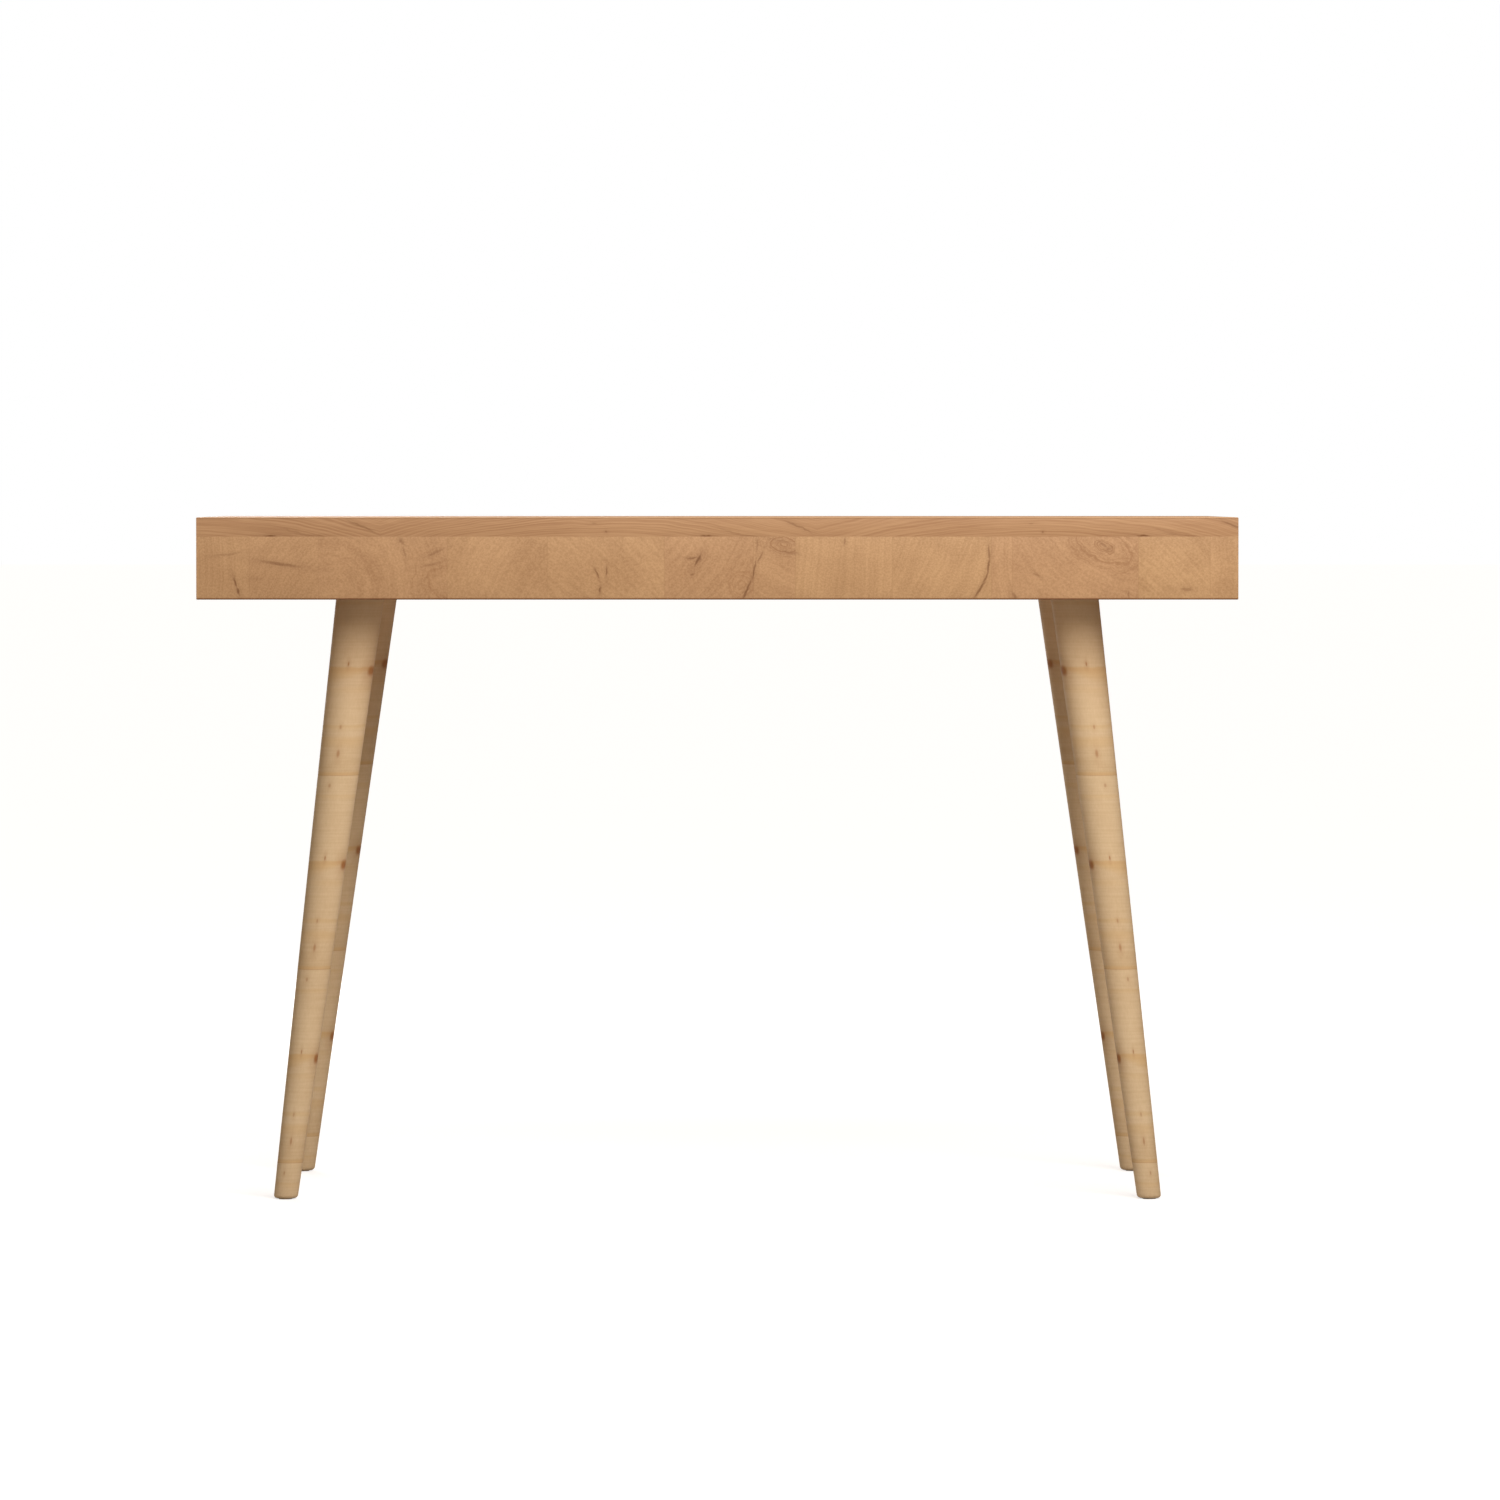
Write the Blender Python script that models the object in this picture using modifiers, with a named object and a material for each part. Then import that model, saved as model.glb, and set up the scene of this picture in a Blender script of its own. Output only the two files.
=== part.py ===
"""Communion table of solid maple: a thick mitred top carried on four splayed, turned legs.

The top is an edge-glued panel on a mitred apron frame. Two leg bearers and a centre bearer run from
front to back inside the frame, housed into the aprons and screwed up into the panel. Each leg hangs
on a hanger bolt in an angled steel plate, and stands on a small nail-on glide.

Frame: metres, +Z up, +X to the right along the length, -Y towards the front. The origin is on the
floor under the middle of the top.
"""

import math

import bmesh
import bpy
from mathutils import Matrix, Vector

# Driving dimensions of the whole table
HEIGHT = 0.807
TOP_WIDTH = 1.2192
TOP_DEPTH = 0.6096
FIT_GAP = 0.0003

# Top panel and aprons
PANEL_THICKNESS = 0.0225
PANEL_EASE = 0.0012
APRON_HEIGHT = 0.0735
APRON_THICKNESS = 0.032
SPLINE_WIDTH = 0.020
SPLINE_THICKNESS = 0.006
SPLINE_HEIGHT = 0.060
CORNER_BLOCK_SIDE = 0.056
CORNER_BLOCK_HEIGHT = 0.060

# Bearers under the panel
BEARER_THICKNESS = 0.040
LEG_BEARER_WIDTH = 0.110
CENTRE_BEARER_WIDTH = 0.060
HOUSING_DEPTH = 0.008
BEARER_SCREW_PITCH = 0.105

# Legs: straight turned tapers that lean outwards along X only
LEG_SPLAY = math.radians(7.15)
LEG_FOOT_X = 0.5115
LEG_Y = 0.205
FOOT_DIAMETER = 0.0282
LEG_DIAMETER_AT_APRON = 0.0563
FOOT_EASE = 0.004
LEG_TOP_EASE = 0.0015
LEG_SIDES = 36

# Angled steel plate, hanger bolt and glide
PLATE_SIDE = 0.084
PLATE_THICKNESS = 0.004
PLATE_HOLE_OFFSET = 0.031
BOSS_RADIUS = 0.022
BOSS_DROP = 0.0055
BOLT_RADIUS = 0.005
BOLT_IN_LEG = 0.050
BOLT_ABOVE_LEG = 0.028
BOLT_TIP = 0.006
BOLT_SIDES = 16
BOLT_BORE_SPARE = 0.0012
BOLT_BORE_HEADROOM = 0.003
GLIDE_RADIUS = 0.008
GLIDE_THICKNESS = 0.003
GLIDE_PROUD = 0.001
NAIL_RADIUS = 0.0012
NAIL_LENGTH = 0.012

# Wood screws: head radius, head height, shank radius, length
PLATE_SCREW = (0.0046, 0.0025, 0.0021, 0.030)
BEARER_SCREW = (0.0055, 0.0030, 0.0025, 0.044)
COUNTERBORE_DEPTH = 0.008
SCREW_TIP = 0.004
SMALL_SIDES = 12
EASED_ANGLE = math.radians(50)
SHARP_ANGLE = math.radians(30)

# Heights that follow from those
PANEL_BOTTOM = HEIGHT - PANEL_THICKNESS
FRAME_TOP = PANEL_BOTTOM - FIT_GAP
APRON_BOTTOM = FRAME_TOP - APRON_HEIGHT
BEARER_BOTTOM = FRAME_TOP - BEARER_THICKNESS
PLATE_TOP = BEARER_BOTTOM - FIT_GAP
PLATE_BOTTOM = PLATE_TOP - PLATE_THICKNESS
SEAT_HEIGHT = PLATE_BOTTOM - BOSS_DROP
LEG_TOP_HEIGHT = SEAT_HEIGHT - FIT_GAP
BEARER_SCREW_SEAT = BEARER_BOTTOM + COUNTERBORE_DEPTH + FIT_GAP
INNER_HALF_WIDTH = TOP_WIDTH / 2 - APRON_THICKNESS
INNER_HALF_DEPTH = TOP_DEPTH / 2 - APRON_THICKNESS
OVERRUN = 0.010

SIDES = {"left": -1, "right": 1}
ENDS = {"front": -1, "back": 1}

MATERIALS = {
    "maple_top": ((0.52, 0.29, 0.14), 0.45, 0.0),
    "maple_leg": ((0.62, 0.42, 0.23), 0.42, 0.0),
    "maple_inner": ((0.58, 0.38, 0.22), 0.65, 0.0),
    "zinc_steel": ((0.55, 0.56, 0.57), 0.35, 1.0),
    "nylon": ((0.74, 0.70, 0.62), 0.55, 0.0),
}


def clear_scene():
    for obj in list(bpy.data.objects):
        bpy.data.objects.remove(obj, do_unlink=True)


def new_collection(name):
    collection = bpy.data.collections.new(name)
    bpy.context.scene.collection.children.link(collection)
    return collection


def make_material(name):
    """A Principled material from the table above."""
    colour, roughness, metallic = MATERIALS[name]
    material = bpy.data.materials.new(name)
    material.use_nodes = True
    shader = material.node_tree.nodes["Principled BSDF"]
    shader.inputs["Base Color"].default_value = (*colour, 1.0)
    shader.inputs["Roughness"].default_value = roughness
    shader.inputs["Metallic"].default_value = metallic
    return material


def add_object(name, data, collection, material=None):
    obj = bpy.data.objects.new(name, data)
    collection.objects.link(obj)
    if material is not None:
        data.materials.append(material)
    return obj


def mesh_from(bm, name):
    mesh = bpy.data.meshes.new(name)
    bm.to_mesh(mesh)
    bm.free()
    return mesh


def box_mesh(bm, low, high):
    """Adds a box between two corners to bm and returns its vertices."""
    size = Vector(high) - Vector(low)
    middle = (Vector(high) + Vector(low)) / 2
    matrix = Matrix.Translation(middle) @ Matrix.Diagonal((*size, 1.0))
    return bmesh.ops.create_cube(bm, size=1.0, matrix=matrix)["verts"]


def add_box(name, low, high, collection, material=None):
    bm = bmesh.new()
    box_mesh(bm, low, high)
    return add_object(name, mesh_from(bm, name), collection, material)


def add_turned(name, profile, collection, material=None, sides=SMALL_SIDES):
    """A turned piece from (radius, height) points that run down its outer side, top to bottom."""
    mesh = bpy.data.meshes.new(name)
    points = [(radius, 0.0, height) for radius, height in profile]
    edges = [(i, i + 1) for i in range(len(points) - 1)]
    mesh.from_pydata(points, edges, [])
    obj = add_object(name, mesh, collection, material)
    screw = obj.modifiers.new("turn", "SCREW")
    screw.angle = math.tau
    screw.steps = sides
    screw.render_steps = sides
    screw.use_merge_vertices = True
    screw.merge_threshold = 0.00001
    screw.use_smooth_shade = True
    return obj


def hide_as_cutter(obj):
    obj.hide_render = True
    obj.display_type = "WIRE"
    return obj


def add_boolean(obj, cutter, operation="DIFFERENCE"):
    modifier = obj.modifiers.new(cutter.name, "BOOLEAN")
    modifier.operation = operation
    modifier.solver = "EXACT"
    modifier.object = cutter


def cylinder_profile(radius, low, high):
    return [(0.0, high), (radius, high), (radius, low), (0.0, low)]


def screw_profile(kind, spare=0.0):
    """Countersunk wood screw, head down at height 0 and point up; spare widens it into its hole."""
    head_radius, head_height, shank_radius, length = kind
    return [
        (0.0, length + spare),
        (shank_radius + spare, length - SCREW_TIP + spare),
        (shank_radius + spare, head_height),
        (head_radius + spare, 0.0),
        (0.0, 0.0),
    ]


def build_top_panel(parts, cutters, material):
    """The edge-glued board, its upper edges and corners eased, with blind pilots in its underside."""
    bm = bmesh.new()
    low = (-TOP_WIDTH / 2, -TOP_DEPTH / 2, PANEL_BOTTOM)
    high = (TOP_WIDTH / 2, TOP_DEPTH / 2, HEIGHT)
    box_mesh(bm, low, high)
    top_edges = [e for e in bm.edges if all(v.co.z > PANEL_BOTTOM + FIT_GAP for v in e.verts)]
    bmesh.ops.bevel(
        bm, geom=top_edges, offset=PANEL_EASE, segments=2, profile=0.5, affect="EDGES"
    )
    panel = add_object("top_panel", mesh_from(bm, "top_panel"), parts, material)
    for name, x, y in bearer_screw_places():
        bore = add_turned(f"cut_panel_{name}", screw_profile(BEARER_SCREW, FIT_GAP), cutters)
        bore.location = (x, y, BEARER_SCREW_SEAT)
        add_boolean(panel, hide_as_cutter(bore))


def mitred_rail_mesh(name, length, depth_sign):
    """A rail along X whose ends are mitred back by its thickness on the inner side."""
    half = length / 2 - FIT_GAP / math.sqrt(2)
    outer = 0.0
    inner = -depth_sign * APRON_THICKNESS
    bm = bmesh.new()
    low = (-half, min(outer, inner), APRON_BOTTOM)
    high = (half, max(outer, inner), FRAME_TOP)
    for vertex in box_mesh(bm, low, high):
        if abs(vertex.co.y - inner) < FIT_GAP:
            vertex.co.x -= math.copysign(APRON_THICKNESS, vertex.co.x)
    return mesh_from(bm, name)


def build_aprons(parts, cutters, material):
    """Front, back and end rails, mitred at the corners, slotted for the splines and bearers."""
    aprons = {}
    for end, sign in ENDS.items():
        name = f"{end}_apron"
        mesh = mitred_rail_mesh(name, TOP_WIDTH, sign)
        aprons[end] = add_object(name, mesh, parts, material)
        aprons[end].location.y = sign * TOP_DEPTH / 2
    for side, sign in SIDES.items():
        name = f"{side}_apron"
        mesh = mitred_rail_mesh(name, TOP_DEPTH, -1)
        aprons[side] = add_object(name, mesh, parts, material)
        aprons[side].location.x = sign * TOP_WIDTH / 2
        aprons[side].rotation_euler.z = sign * math.pi / 2

    for bearer, (x, width) in bearer_layout().items():
        half_width = width / 2 + FIT_GAP
        for end, sign in ENDS.items():
            near = sign * (INNER_HALF_DEPTH - OVERRUN)
            far = sign * (INNER_HALF_DEPTH + HOUSING_DEPTH)
            low = (x - half_width, min(near, far), BEARER_BOTTOM - FIT_GAP)
            high = (x + half_width, max(near, far), FRAME_TOP + OVERRUN)
            housing = add_box(f"cut_housing_{bearer}_{end}", low, high, cutters)
            add_boolean(aprons[end], hide_as_cutter(housing))

    for side, end, x_sign, y_sign in corners():
        slot = add_spline(f"cut_spline_{end}_{side}", x_sign, y_sign, cutters, FIT_GAP)
        hide_as_cutter(slot)
        add_boolean(aprons[side], slot)
        add_boolean(aprons[end], slot)


def add_spline(name, x_sign, y_sign, collection, spare=0.0, material=None):
    """The loose tongue that crosses a mitre, or with spare its slot, which is open at the top."""
    half_width = SPLINE_WIDTH / 2 + spare
    half_thickness = SPLINE_THICKNESS / 2 + spare
    low = (-half_width, -half_thickness, FRAME_TOP - SPLINE_HEIGHT - spare)
    high = (half_width, half_thickness, FRAME_TOP + (OVERRUN if spare else 0.0))
    spline = add_box(name, low, high, collection, material)
    spline.location.x = x_sign * (TOP_WIDTH / 2 - APRON_THICKNESS / 2)
    spline.location.y = y_sign * (TOP_DEPTH / 2 - APRON_THICKNESS / 2)
    spline.rotation_euler.z = -x_sign * y_sign * math.pi / 4
    return spline


def build_corner_joints(parts, material):
    """A spline across each mitre and a glue block in the corner behind it."""
    for side, end, x_sign, y_sign in corners():
        add_spline(f"mitre_spline_{end}_{side}", x_sign, y_sign, parts, material=material)
        add_corner_block(f"corner_block_{end}_{side}", x_sign, y_sign, parts, material)


def add_corner_block(name, x_sign, y_sign, collection, material):
    """Half a square in plan, glued into the corner, with its two sharp tips cut off."""
    reach = CORNER_BLOCK_SIDE
    tip = reach / 5
    outline = [(0, 0), (reach, 0), (reach, tip), (tip, reach), (0, reach)]
    bm = bmesh.new()
    bottom = bm.faces.new([bm.verts.new((x, y, 0.0)) for x, y in outline])
    lifted = bmesh.ops.extrude_face_region(bm, geom=[bottom])["geom"]
    top_vertices = [item for item in lifted if isinstance(item, bmesh.types.BMVert)]
    bmesh.ops.translate(bm, verts=top_vertices, vec=(0.0, 0.0, CORNER_BLOCK_HEIGHT))
    bmesh.ops.recalc_face_normals(bm, faces=bm.faces)
    block = add_object(name, mesh_from(bm, name), collection, material)
    block.location.x = x_sign * (INNER_HALF_WIDTH - FIT_GAP)
    block.location.y = y_sign * (INNER_HALF_DEPTH - FIT_GAP)
    block.location.z = FRAME_TOP - CORNER_BLOCK_HEIGHT
    # A quarter turn for each corner points the block's two sides into the table.
    block.rotation_euler.z = math.atan2(-y_sign, -x_sign) - math.pi / 4


def bearer_layout():
    """Each bearer's centre along X and its width."""
    plate_x = axis_x_at(PLATE_BOTTOM)
    return {
        "left": (-plate_x, LEG_BEARER_WIDTH),
        "centre": (0.0, CENTRE_BEARER_WIDTH),
        "right": (plate_x, LEG_BEARER_WIDTH),
    }


def bearer_screw_places():
    """Name, x and y of each screw that pulls a bearer up to the panel."""
    for bearer, (x, _) in bearer_layout().items():
        for i, step in enumerate((-1, 0, 1), start=1):
            yield f"{bearer}_{i}", x, step * BEARER_SCREW_PITCH


def plate_screw_places(x_sign, y_sign):
    """Number, x and y of the four screws in one leg's plate."""
    centre_x = x_sign * axis_x_at(PLATE_BOTTOM)
    offsets = [(i, j) for i in (-1, 1) for j in (-1, 1)]
    for number, (i, j) in enumerate(offsets, start=1):
        yield number, centre_x + i * PLATE_HOLE_OFFSET, y_sign * LEG_Y + j * PLATE_HOLE_OFFSET


def build_bearers(parts, cutters, material):
    """Rails under the panel, housed at both ends, bored for their own screws and the leg fixings."""
    half_length = INNER_HALF_DEPTH + HOUSING_DEPTH - FIT_GAP
    bearers = {}
    for bearer, (x, width) in bearer_layout().items():
        name = "centre_bearer" if bearer == "centre" else f"{bearer}_leg_bearer"
        low = (x - width / 2, -half_length, BEARER_BOTTOM)
        high = (x + width / 2, half_length, FRAME_TOP)
        bearers[bearer] = add_box(name, low, high, parts, material)

    head_radius, _, shank_radius, _ = BEARER_SCREW
    for name, x, y in bearer_screw_places():
        profile = [
            (0.0, BEARER_THICKNESS + OVERRUN),
            (shank_radius + FIT_GAP, BEARER_THICKNESS + OVERRUN),
            (shank_radius + FIT_GAP, COUNTERBORE_DEPTH + BEARER_SCREW[1] + FIT_GAP),
            (head_radius + 2 * FIT_GAP, COUNTERBORE_DEPTH),
            (head_radius + 2 * FIT_GAP, -OVERRUN),
            (0.0, -OVERRUN),
        ]
        bore = add_turned(f"cut_bearer_{name}", profile, cutters)
        bore.location = (x, y, BEARER_BOTTOM)
        add_boolean(bearers[name.split("_")[0]], hide_as_cutter(bore))

    for side, end, x_sign, y_sign in corners():
        bolt_bore = add_axis_cylinder(
            f"cut_bearer_bolt_{end}_{side}",
            BOLT_RADIUS + BOLT_BORE_SPARE,
            PLATE_BOTTOM,
            LEG_TOP_HEIGHT + BOLT_ABOVE_LEG + BOLT_BORE_HEADROOM,
            (x_sign, y_sign),
            cutters,
        )
        add_boolean(bearers[side], hide_as_cutter(bolt_bore))
        for number, x, y in plate_screw_places(x_sign, y_sign):
            pilot = add_turned(
                f"cut_pilot_{end}_{side}_{number}", screw_profile(PLATE_SCREW, FIT_GAP), cutters
            )
            pilot.location = (x, y, PLATE_BOTTOM)
            add_boolean(bearers[side], hide_as_cutter(pilot))


def build_bearer_screws(parts, material):
    for name, x, y in bearer_screw_places():
        screw = add_turned(f"bearer_screw_{name}", screw_profile(BEARER_SCREW), parts, material)
        screw.location = (x, y, BEARER_SCREW_SEAT)


def corners():
    """Side name, end name and the two signs of each corner of the table."""
    for side, x_sign in SIDES.items():
        for end, y_sign in ENDS.items():
            yield side, end, x_sign, y_sign


def axis_x_at(height):
    """Distance of a leg's axis from the middle of the table at a height above the floor."""
    return LEG_FOOT_X - height * math.tan(LEG_SPLAY)


def stand_on_axis(obj, x_sign, y_sign):
    """Puts a piece made along +Z on a leg's axis, with its own origin where the axis meets the floor."""
    obj.location = (x_sign * LEG_FOOT_X, y_sign * LEG_Y, 0.0)
    obj.rotation_euler.y = -x_sign * LEG_SPLAY
    return obj


def along_axis(height):
    """Distance from the floor measured along a leg's axis."""
    return height / math.cos(LEG_SPLAY)


def add_axis_cylinder(name, radius, low, high, signs, collection):
    """A cylinder on a leg's axis between two heights above the floor."""
    profile = cylinder_profile(radius, along_axis(low), along_axis(high))
    return stand_on_axis(add_turned(name, profile, collection), *signs)


def leg_profile():
    """Straight taper, run on below the floor so that the foot can be cut level; the top rim is rounded."""
    rise = along_axis(APRON_BOTTOM)
    taper = (LEG_DIAMETER_AT_APRON - FOOT_DIAMETER) / 2 / rise
    top = along_axis(LEG_TOP_HEIGHT)
    top_radius = FOOT_DIAMETER / 2 + taper * top
    rim_steps = 3
    profile = [(0.0, top)]
    for i in range(rim_steps + 1):
        angle = math.pi / 2 * (1 - i / rim_steps)
        radius = top_radius - LEG_TOP_EASE * (1 - math.cos(angle))
        profile.append((radius, top - LEG_TOP_EASE * (1 - math.sin(angle))))
    profile.append((FOOT_DIAMETER / 2 - taper * OVERRUN, -OVERRUN))
    profile.append((0.0, -OVERRUN))
    return profile


def build_leg(side, end, signs, parts, cutters, material):
    """One leg: turned, cut level at the floor with an eased foot, bored for its bolt and glide."""
    name = f"leg_{end}_{side}"
    leg = add_turned(name, leg_profile(), parts, material, sides=LEG_SIDES)
    stand_on_axis(leg, *signs)

    x, y, _ = leg.location
    reach = 3 * FOOT_DIAMETER
    low = (x - reach, y - reach, -reach)
    high = (x + reach, y + reach, GLIDE_PROUD)
    add_boolean(leg, hide_as_cutter(add_box(f"cut_level_{name}", low, high, cutters)))
    ease = leg.modifiers.new("foot_ease", "BEVEL")
    ease.width = FOOT_EASE
    ease.segments = 3
    ease.limit_method = "ANGLE"
    ease.angle_limit = EASED_ANGLE

    bore_radius = BOLT_RADIUS + FIT_GAP
    bore_foot = LEG_TOP_HEIGHT - (BOLT_IN_LEG + FIT_GAP) * math.cos(LEG_SPLAY)
    bore_top = LEG_TOP_HEIGHT + OVERRUN
    bore = add_axis_cylinder(f"cut_bolt_{name}", bore_radius, bore_foot, bore_top, signs, cutters)
    add_boolean(leg, hide_as_cutter(bore))

    recess = add_turned(f"cut_glide_{name}", glide_profile(FIT_GAP), cutters, sides=2 * SMALL_SIDES)
    recess.location = (x, y, 0.0)
    add_boolean(leg, hide_as_cutter(recess))


def glide_profile(spare=0.0):
    """A flat pad with a nail in the middle of it; with spare, its recess, which runs on downwards."""
    pad_top = GLIDE_THICKNESS + spare
    pad_bottom = -OVERRUN if spare else 0.0
    return [
        (0.0, NAIL_LENGTH + pad_top),
        (NAIL_RADIUS + spare, NAIL_LENGTH - NAIL_RADIUS + pad_top),
        (NAIL_RADIUS + spare, pad_top),
        (GLIDE_RADIUS + spare, pad_top),
        (GLIDE_RADIUS + spare, pad_bottom),
        (0.0, pad_bottom),
    ]


def build_glide(side, end, signs, parts, material):
    name = f"foot_glide_{end}_{side}"
    glide = add_turned(name, glide_profile(), parts, material, sides=2 * SMALL_SIDES)
    glide.location = (signs[0] * LEG_FOOT_X, signs[1] * LEG_Y, 0.0)


def build_hanger_bolt(side, end, signs, parts, material):
    """A headless stud on the leg's axis: wood point down in the leg, machine end up through the plate."""
    top = along_axis(LEG_TOP_HEIGHT) + BOLT_ABOVE_LEG
    bottom = along_axis(LEG_TOP_HEIGHT) - BOLT_IN_LEG
    chamfer = BOLT_RADIUS / 4
    profile = [
        (0.0, top),
        (BOLT_RADIUS - chamfer, top),
        (BOLT_RADIUS, top - chamfer),
        (BOLT_RADIUS, bottom + BOLT_TIP),
        (0.0, bottom),
    ]
    bolt = add_turned(f"hanger_bolt_{end}_{side}", profile, parts, material, sides=BOLT_SIDES)
    stand_on_axis(bolt, *signs)


def build_leg_plate(side, end, signs, parts, cutters, material):
    """A square flange under the bearer, with a round boss whose lower face is square to the leg."""
    x_sign, y_sign = signs
    name = f"leg_plate_{end}_{side}"
    x = x_sign * axis_x_at(PLATE_BOTTOM)
    y = y_sign * LEG_Y
    half = PLATE_SIDE / 2
    plate = add_box(
        name, (x - half, y - half, PLATE_BOTTOM), (x + half, y + half, PLATE_TOP), parts, material
    )

    boss_top = PLATE_BOTTOM + PLATE_THICKNESS / 2
    seat_x = x_sign * axis_x_at(SEAT_HEIGHT)
    bm = bmesh.new()
    middle = Vector((x, y, (SEAT_HEIGHT + boss_top) / 2))
    bmesh.ops.create_cone(
        bm,
        cap_ends=True,
        segments=2 * SMALL_SIDES,
        radius1=BOSS_RADIUS,
        radius2=BOSS_RADIUS,
        depth=boss_top - SEAT_HEIGHT,
        matrix=Matrix.Translation(middle),
    )
    for vertex in bm.verts:
        if vertex.co.z < middle.z:
            vertex.co.z += x_sign * (vertex.co.x - seat_x) * math.tan(LEG_SPLAY)
    boss = add_object(f"boss_{name}", mesh_from(bm, f"boss_{name}"), cutters)
    add_boolean(plate, hide_as_cutter(boss), "UNION")

    thread = add_axis_cylinder(
        f"cut_thread_{name}",
        BOLT_RADIUS + FIT_GAP,
        SEAT_HEIGHT - OVERRUN,
        PLATE_TOP + OVERRUN,
        signs,
        cutters,
    )
    add_boolean(plate, hide_as_cutter(thread))
    for number, hole_x, hole_y in plate_screw_places(x_sign, y_sign):
        head_radius, head_height, shank_radius, _ = PLATE_SCREW
        profile = [
            (0.0, PLATE_THICKNESS + OVERRUN),
            (shank_radius + FIT_GAP, PLATE_THICKNESS + OVERRUN),
            (shank_radius + FIT_GAP, head_height + FIT_GAP),
            (head_radius + FIT_GAP, 0.0),
            (head_radius + FIT_GAP, -OVERRUN),
            (0.0, -OVERRUN),
        ]
        hole = add_turned(f"cut_hole_{name}_{number}", profile, cutters)
        hole.location = (hole_x, hole_y, PLATE_BOTTOM)
        add_boolean(plate, hide_as_cutter(hole))


def build_plate_screws(side, end, signs, parts, material):
    for number, x, y in plate_screw_places(*signs):
        name = f"plate_screw_{end}_{side}_{number}"
        screw = add_turned(name, screw_profile(PLATE_SCREW), parts, material)
        screw.location = (x, y, PLATE_BOTTOM)


def shade_flat_cut_pieces(parts):
    """Flat boards stay flat, and round pieces get sharp edges where their faces turn."""
    for obj in parts.objects:
        if obj.type == "MESH" and not any(m.type == "SCREW" for m in obj.modifiers):
            obj.data.shade_smooth()
            obj.data.set_sharp_from_angle(angle=SHARP_ANGLE)


def main():
    clear_scene()
    parts = new_collection("communion_table")
    cutters = new_collection("cutters")
    materials = {name: make_material(name) for name in MATERIALS}
    build_top_panel(parts, cutters, materials["maple_top"])
    build_aprons(parts, cutters, materials["maple_top"])
    build_corner_joints(parts, materials["maple_inner"])
    build_bearers(parts, cutters, materials["maple_inner"])
    build_bearer_screws(parts, materials["zinc_steel"])
    for side, end, *signs in corners():
        build_leg(side, end, signs, parts, cutters, materials["maple_leg"])
        build_leg_plate(side, end, signs, parts, cutters, materials["zinc_steel"])
        build_hanger_bolt(side, end, signs, parts, materials["zinc_steel"])
        build_plate_screws(side, end, signs, parts, materials["zinc_steel"])
        build_glide(side, end, signs, parts, materials["nylon"])
    shade_flat_cut_pieces(parts)


main()
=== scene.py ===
"""Communion table of solid maple: the visual model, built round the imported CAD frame.

Metres, +Z up, -Y towards the front. Boards, apron blocks, legs and screws are built here in mesh
code and stand for their CAD nodes. Every other piece is the CAD node itself, with eased edges. All
finishes are procedural.
"""

import math
import random

import bmesh
import bpy
from mathutils import Matrix, Vector


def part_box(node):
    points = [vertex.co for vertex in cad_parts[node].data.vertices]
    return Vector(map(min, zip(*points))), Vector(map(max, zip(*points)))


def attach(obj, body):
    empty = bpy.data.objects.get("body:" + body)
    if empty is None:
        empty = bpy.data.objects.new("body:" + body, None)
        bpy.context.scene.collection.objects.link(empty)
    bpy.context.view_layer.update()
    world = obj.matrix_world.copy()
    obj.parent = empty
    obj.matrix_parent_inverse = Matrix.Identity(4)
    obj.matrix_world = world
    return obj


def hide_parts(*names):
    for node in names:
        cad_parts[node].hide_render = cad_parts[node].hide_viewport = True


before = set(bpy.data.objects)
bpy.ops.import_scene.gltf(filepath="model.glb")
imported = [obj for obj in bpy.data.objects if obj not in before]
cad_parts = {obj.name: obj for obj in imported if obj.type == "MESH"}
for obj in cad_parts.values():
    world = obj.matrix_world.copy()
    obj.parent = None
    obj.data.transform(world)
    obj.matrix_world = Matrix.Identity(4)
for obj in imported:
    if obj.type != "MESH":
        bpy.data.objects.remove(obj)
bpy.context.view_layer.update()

# Places read from the CAD frame
PANEL_LOW, PANEL_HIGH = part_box("top_panel")
APRON_LOW, APRON_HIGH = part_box("front_apron")
APRON_THICKNESS = APRON_HIGH.y - APRON_LOW.y
WIDTH = PANEL_HIGH.x - PANEL_LOW.x
DEPTH = PANEL_HIGH.y - PANEL_LOW.y
SIDES = {"left": -1, "right": 1}
ENDS = {"front": -1, "back": 1}

# Legs, as in the CAD
LEG_SPLAY = math.radians(7.15)
LEG_FOOT_X = 0.5115
LEG_Y = 0.205
LEG_FOOT_RADIUS = 0.0141
LEG_RADIUS_AT_APRON = 0.02815
LEG_TOP_RISE = 0.7356 / math.cos(LEG_SPLAY)
LEG_TAPER = (LEG_RADIUS_AT_APRON - LEG_FOOT_RADIUS) * math.cos(LEG_SPLAY) / APRON_LOW.z
LEG_SEGMENTS = 96
LEG_RINGS = 40
LEG_OVERRUN = 0.01
LEG_TOP_EASE = 0.0015
FOOT_CUT = 0.001
FOOT_EASE = 0.004

# Boards and blocks
TOP_BOARD_COUNT = 7
PANEL_EASE = 0.0012
GLUED_EASE = 0.00004
APRON_EASES = (0.0010, 0.0008, 0.0001, 0.0001)
ARC_STEPS = 3
SHARP_ANGLE = math.radians(35)

# Countersunk screws: head radius, head height, shank radius, length
PLATE_SCREW = (0.0046, 0.0025, 0.0021, 0.030)
BEARER_SCREW = (0.0055, 0.0030, 0.0025, 0.044)
SCREW_SEGMENTS = 32
SCREW_POINT = 0.004
SCREW_CORE = 0.72
# The flat round the recess, the recess's middle and its arms, each as a share of the head's radius
SCREW_FLAT = 0.62
RECESS_MIDDLE = 0.17
RECESS_ARMS = 0.36

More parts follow.
